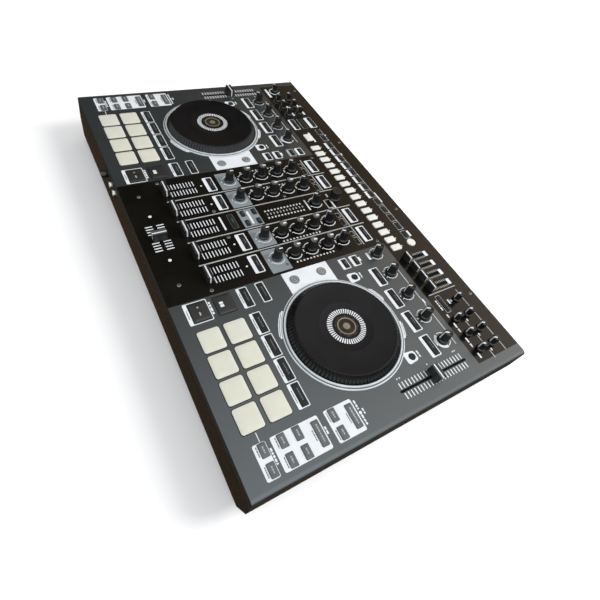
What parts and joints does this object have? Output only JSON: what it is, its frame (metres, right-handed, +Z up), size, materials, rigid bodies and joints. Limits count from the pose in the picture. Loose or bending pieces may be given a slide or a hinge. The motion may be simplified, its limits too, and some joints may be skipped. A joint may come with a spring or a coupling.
{
  "type": "dj controller",
  "caption": "Flat two-deck DJ controller: jog wheels, pads, pitch faders, a mixer section in the middle and a step-button band along the rear.",
  "frame": {"origin": "middle of the footprint's bounding box, on the surface that the feet stand on", "axes": "+X to the player's right along the length, +Y to the rear, +Z up"},
  "size_m": [0.729, 0.4442, 0.094],
  "materials": {
    "slate_panel": "satin slate-grey paint",
    "case_black": "gloss black",
    "plate_black": "gloss black faceplate",
    "ring_silver": "satin silver",
    "spindle_steel": "turned steel",
    "socket_metal": "nickel-plated sockets",
    "board_green": "glass-fibre board with green mask",
    "foot_rubber": "matt black rubber",
    "screw_steel": "blackened steel",
    "jog_black": "black, fluted side and smooth top",
    "pad_ivory": "translucent silicone",
    "button_grey": "dark smoke plastic",
    "step_white": "translucent white",
    "knob_black": "soft-touch black",
    "cap_black": "moulded black"
  },
  "bodies": {
    "case": {"bottom_case": "case_black", "top_panel": "slate_panel", "faceplates": "plate_black", "jog_rings": "ring_silver", "jog_spindles": "spindle_steel", "io_sockets": "socket_metal", "circuit_boards": "board_green", "rubber_feet": "foot_rubber", "case_screws": "screw_steel", "rear_knobs": "knob_black"},
    "left_jog_wheel": {"left_jog_wheel": "jog_black"},
    "left_pads": {"left_pads": "pad_ivory"},
    "left_deck_buttons": {"left_deck_buttons": "button_grey"},
    "left_pitch_fader": {"left_pitch_fader": "cap_black"},
    "left_effect_knob_1": {"left_effect_knob_1": "knob_black"},
    "left_effect_knob_2": {"left_effect_knob_2": "knob_black"},
    "left_effect_knob_3": {"left_effect_knob_3": "knob_black"},
    "left_effect_knob_4": {"left_effect_knob_4": "knob_black"},
    "right_jog_wheel": {"right_jog_wheel": "jog_black"},
    "right_pads": {"right_pads": "pad_ivory"},
    "right_deck_buttons": {"right_deck_buttons": "button_grey"},
    "right_pitch_fader": {"right_pitch_fader": "cap_black"},
    "right_effect_knob_1": {"right_effect_knob_1": "knob_black"},
    "right_effect_knob_2": {"right_effect_knob_2": "knob_black"},
    "right_effect_knob_3": {"right_effect_knob_3": "knob_black"},
    "right_effect_knob_4": {"right_effect_knob_4": "knob_black"},
    "mixer_buttons": {"mixer_buttons": "button_grey"},
    "step_buttons": {"step_buttons": "step_white"},
    "drum_buttons": {"drum_buttons": "button_grey"},
    "channel_fader_1": {"channel_fader_1": "cap_black"},
    "trim_knob_1": {"trim_knob_1": "knob_black"},
    "high_knob_1": {"high_knob_1": "knob_black"},
    "mid_knob_1": {"mid_knob_1": "knob_black"},
    "low_knob_1": {"low_knob_1": "knob_black"},
    "filter_knob_1": {"filter_knob_1": "knob_black"},
    "channel_fader_2": {"channel_fader_2": "cap_black"},
    "trim_knob_2": {"trim_knob_2": "knob_black"},
    "high_knob_2": {"high_knob_2": "knob_black"},
    "mid_knob_2": {"mid_knob_2": "knob_black"},
    "low_knob_2": {"low_knob_2": "knob_black"},
    "filter_knob_2": {"filter_knob_2": "knob_black"},
    "channel_fader_3": {"channel_fader_3": "cap_black"},
    "trim_knob_3": {"trim_knob_3": "knob_black"},
    "high_knob_3": {"high_knob_3": "knob_black"},
    "mid_knob_3": {"mid_knob_3": "knob_black"},
    "low_knob_3": {"low_knob_3": "knob_black"},
    "filter_knob_3": {"filter_knob_3": "knob_black"},
    "channel_fader_4": {"channel_fader_4": "cap_black"},
    "trim_knob_4": {"trim_knob_4": "knob_black"},
    "high_knob_4": {"high_knob_4": "knob_black"},
    "mid_knob_4": {"mid_knob_4": "knob_black"},
    "low_knob_4": {"low_knob_4": "knob_black"},
    "filter_knob_4": {"filter_knob_4": "knob_black"},
    "main_fader": {"main_fader": "cap_black"},
    "crossfader": {"crossfader": "cap_black"},
    "drum_faders": {"drum_faders": "cap_black"},
    "main_level_knob": {"main_level_knob": "knob_black"},
    "cue_mix_knob": {"cue_mix_knob": "knob_black"},
    "browse_knob": {"browse_knob": "knob_black"},
    "front_level_knob": {"front_level_knob": "knob_black"}
  },
  "joints": [
    {"name": "left_jog_wheel_turn", "type": "hinge", "parent": "case", "child": "left_jog_wheel", "pos_m": [-0.23, -0.016, 0.074], "axis": [0, 0, 1], "continuous": true},
    {"name": "left_pads_press", "type": "slide", "parent": "case", "child": "left_pads", "axis": [0, 0, -1], "range_m": [0, 0.001], "stiffness_N_per_m": 900, "springref_m": -0.003},
    {"name": "left_deck_buttons_press", "type": "slide", "parent": "case", "child": "left_deck_buttons", "axis": [0, 0, -1], "range_m": [0, 0.001], "stiffness_N_per_m": 900, "springref_m": -0.003},
    {"name": "left_pitch_fader_slide", "type": "slide", "parent": "case", "child": "left_pitch_fader", "axis": [0, 1, 0], "range_m": [-0.0535, 0.0535]},
    {"name": "left_effect_knob_1_turn", "type": "hinge", "parent": "case", "child": "left_effect_knob_1", "pos_m": [-0.2966, 0.1095, 0.074], "axis": [0, 0, 1], "range_deg": [-300, 0]},
    {"name": "left_effect_knob_2_turn", "type": "hinge", "parent": "case", "child": "left_effect_knob_2", "pos_m": [-0.2547, 0.1095, 0.074], "axis": [0, 0, 1], "range_deg": [-300, 0]},
    {"name": "left_effect_knob_3_turn", "type": "hinge", "parent": "case", "child": "left_effect_knob_3", "pos_m": [-0.2128, 0.1095, 0.074], "axis": [0, 0, 1], "range_deg": [-300, 0]},
    {"name": "left_effect_knob_4_turn", "type": "hinge", "parent": "case", "child": "left_effect_knob_4", "pos_m": [-0.1706, 0.1095, 0.074], "axis": [0, 0, 1], "range_deg": [-300, 0]},
    {"name": "right_jog_wheel_turn", "type": "hinge", "parent": "case", "child": "right_jog_wheel", "pos_m": [0.23, -0.016, 0.074], "axis": [0, 0, 1], "continuous": true},
    {"name": "right_pads_press", "type": "slide", "parent": "case", "child": "right_pads", "axis": [0, 0, -1], "range_m": [0, 0.001], "stiffness_N_per_m": 900, "springref_m": -0.003},
    {"name": "right_deck_buttons_press", "type": "slide", "parent": "case", "child": "right_deck_buttons", "axis": [0, 0, -1], "range_m": [0, 0.001], "stiffness_N_per_m": 900, "springref_m": -0.003},
    {"name": "right_pitch_fader_slide", "type": "slide", "parent": "case", "child": "right_pitch_fader", "axis": [0, 1, 0], "range_m": [-0.0535, 0.0535]},
    {"name": "right_effect_knob_1_turn", "type": "hinge", "parent": "case", "child": "right_effect_knob_1", "pos_m": [0.1706, 0.1095, 0.074], "axis": [0, 0, 1], "range_deg": [-300, 0]},
    {"name": "right_effect_knob_2_turn", "type": "hinge", "parent": "case", "child": "right_effect_knob_2", "pos_m": [0.2128, 0.1095, 0.074], "axis": [0, 0, 1], "range_deg": [-300, 0]},
    {"name": "right_effect_knob_3_turn", "type": "hinge", "parent": "case", "child": "right_effect_knob_3", "pos_m": [0.2547, 0.1095, 0.074], "axis": [0, 0, 1], "range_deg": [-300, 0]},
    {"name": "right_effect_knob_4_turn", "type": "hinge", "parent": "case", "child": "right_effect_knob_4", "pos_m": [0.2966, 0.1095, 0.074], "axis": [0, 0, 1], "range_deg": [-300, 0]},
    {"name": "mixer_buttons_press", "type": "slide", "parent": "case", "child": "mixer_buttons", "axis": [0, 0, -1], "range_m": [0, 0.001], "stiffness_N_per_m": 900, "springref_m": -0.003},
    {"name": "step_buttons_press", "type": "slide", "parent": "case", "child": "step_buttons", "axis": [0, 0, -1], "range_m": [0, 0.001], "stiffness_N_per_m": 900, "springref_m": -0.003},
    {"name": "drum_buttons_press", "type": "slide", "parent": "case", "child": "drum_buttons", "axis": [0, 0, -1], "range_m": [0, 0.001], "stiffness_N_per_m": 900, "springref_m": -0.003},
    {"name": "channel_fader_1_slide", "type": "slide", "parent": "case", "child": "channel_fader_1", "axis": [0, 1, 0], "range_m": [0, 0.047]},
    {"name": "trim_knob_1_turn", "type": "hinge", "parent": "case", "child": "trim_knob_1", "pos_m": [-0.0872, 0.0726, 0.074], "axis": [0, 0, 1], "range_deg": [-300, 0]},
    {"name": "high_knob_1_turn", "type": "hinge", "parent": "case", "child": "high_knob_1", "pos_m": [-0.0872, 0.0435, 0.074], "axis": [0, 0, 1], "range_deg": [-150, 150]},
    {"name": "mid_knob_1_turn", "type": "hinge", "parent": "case", "child": "mid_knob_1", "pos_m": [-0.0872, 0.0144, 0.074], "axis": [0, 0, 1], "range_deg": [-150, 150]},
    {"name": "low_knob_1_turn", "type": "hinge", "parent": "case", "child": "low_knob_1", "pos_m": [-0.0872, -0.0147, 0.074], "axis": [0, 0, 1], "range_deg": [-150, 150]},
    {"name": "filter_knob_1_turn", "type": "hinge", "parent": "case", "child": "filter_knob_1", "pos_m": [-0.0872, -0.0438, 0.074], "axis": [0, 0, 1], "range_deg": [-150, 150]},
    {"name": "channel_fader_2_slide", "type": "slide", "parent": "case", "child": "channel_fader_2", "axis": [0, 1, 0], "range_m": [0, 0.047]},
    {"name": "trim_knob_2_turn", "type": "hinge", "parent": "case", "child": "trim_knob_2", "pos_m": [-0.0436, 0.0726, 0.074], "axis": [0, 0, 1], "range_deg": [-300, 0]},
    {"name": "high_knob_2_turn", "type": "hinge", "parent": "case", "child": "high_knob_2", "pos_m": [-0.0436, 0.0435, 0.074], "axis": [0, 0, 1], "range_deg": [-150, 150]},
    {"name": "mid_knob_2_turn", "type": "hinge", "parent": "case", "child": "mid_knob_2", "pos_m": [-0.0436, 0.0144, 0.074], "axis": [0, 0, 1], "range_deg": [-150, 150]},
    {"name": "low_knob_2_turn", "type": "hinge", "parent": "case", "child": "low_knob_2", "pos_m": [-0.0436, -0.0147, 0.074], "axis": [0, 0, 1], "range_deg": [-150, 150]},
    {"name": "filter_knob_2_turn", "type": "hinge", "parent": "case", "child": "filter_knob_2", "pos_m": [-0.0436, -0.0438, 0.074], "axis": [0, 0, 1], "range_deg": [-150, 150]},
    {"name": "channel_fader_3_slide", "type": "slide", "parent": "case", "child": "channel_fader_3", "axis": [0, 1, 0], "range_m": [0, 0.047]},
    {"name": "trim_knob_3_turn", "type": "hinge", "parent": "case", "child": "trim_knob_3", "pos_m": [0.0436, 0.0726, 0.074], "axis": [0, 0, 1], "range_deg": [-300, 0]},
    {"name": "high_knob_3_turn", "type": "hinge", "parent": "case", "child": "high_knob_3", "pos_m": [0.0436, 0.0435, 0.074], "axis": [0, 0, 1], "range_deg": [-150, 150]},
    {"name": "mid_knob_3_turn", "type": "hinge", "parent": "case", "child": "mid_knob_3", "pos_m": [0.0436, 0.0144, 0.074], "axis": [0, 0, 1], "range_deg": [-150, 150]},
    {"name": "low_knob_3_turn", "type": "hinge", "parent": "case", "child": "low_knob_3", "pos_m": [0.0436, -0.0147, 0.074], "axis": [0, 0, 1], "range_deg": [-150, 150]},
    {"name": "filter_knob_3_turn", "type": "hinge", "parent": "case", "child": "filter_knob_3", "pos_m": [0.0436, -0.0438, 0.074], "axis": [0, 0, 1], "range_deg": [-150, 150]},
    {"name": "channel_fader_4_slide", "type": "slide", "parent": "case", "child": "channel_fader_4", "axis": [0, 1, 0], "range_m": [0, 0.047]},
    {"name": "trim_knob_4_turn", "type": "hinge", "parent": "case", "child": "trim_knob_4", "pos_m": [0.0872, 0.0726, 0.074], "axis": [0, 0, 1], "range_deg": [-300, 0]},
    {"name": "high_knob_4_turn", "type": "hinge", "parent": "case", "child": "high_knob_4", "pos_m": [0.0872, 0.0435, 0.074], "axis": [0, 0, 1], "range_deg": [-150, 150]},
    {"name": "mid_knob_4_turn", "type": "hinge", "parent": "case", "child": "mid_knob_4", "pos_m": [0.0872, 0.0144, 0.074], "axis": [0, 0, 1], "range_deg": [-150, 150]},
    {"name": "low_knob_4_turn", "type": "hinge", "parent": "case", "child": "low_knob_4", "pos_m": [0.0872, -0.0147, 0.074], "axis": [0, 0, 1], "range_deg": [-150, 150]},
    {"name": "filter_knob_4_turn", "type": "hinge", "parent": "case", "child": "filter_knob_4", "pos_m": [0.0872, -0.0438, 0.074], "axis": [0, 0, 1], "range_deg": [-150, 150]},
    {"name": "main_fader_slide", "type": "slide", "parent": "case", "child": "main_fader", "axis": [0, 1, 0], "range_m": [0, 0.047]},
    {"name": "crossfader_slide", "type": "slide", "parent": "case", "child": "crossfader", "axis": [1, 0, 0], "range_m": [-0.024, 0.021]},
    {"name": "drum_faders_slide", "type": "slide", "parent": "case", "child": "drum_faders", "axis": [0, 1, 0], "range_m": [0, 0.036]},
    {"name": "main_level_knob_turn", "type": "hinge", "parent": "case", "child": "main_level_knob", "pos_m": [0, 0.0726, 0.074], "axis": [0, 0, 1], "range_deg": [-300, 0]},
    {"name": "cue_mix_knob_turn", "type": "hinge", "parent": "case", "child": "cue_mix_knob", "pos_m": [0.131, 0.1095, 0.074], "axis": [0, 0, 1], "range_deg": [-300, 0]},
    {"name": "browse_knob_turn", "type": "hinge", "parent": "case", "child": "browse_knob", "pos_m": [0, 0.1105, 0.074], "axis": [0, 0, 1], "continuous": true},
    {"name": "front_level_knob_turn", "type": "hinge", "parent": "case", "child": "front_level_knob", "pos_m": [-0.18, -0.21415, 0.05], "axis": [0, -1, 0], "range_deg": [-150, 150]}
  ]
}
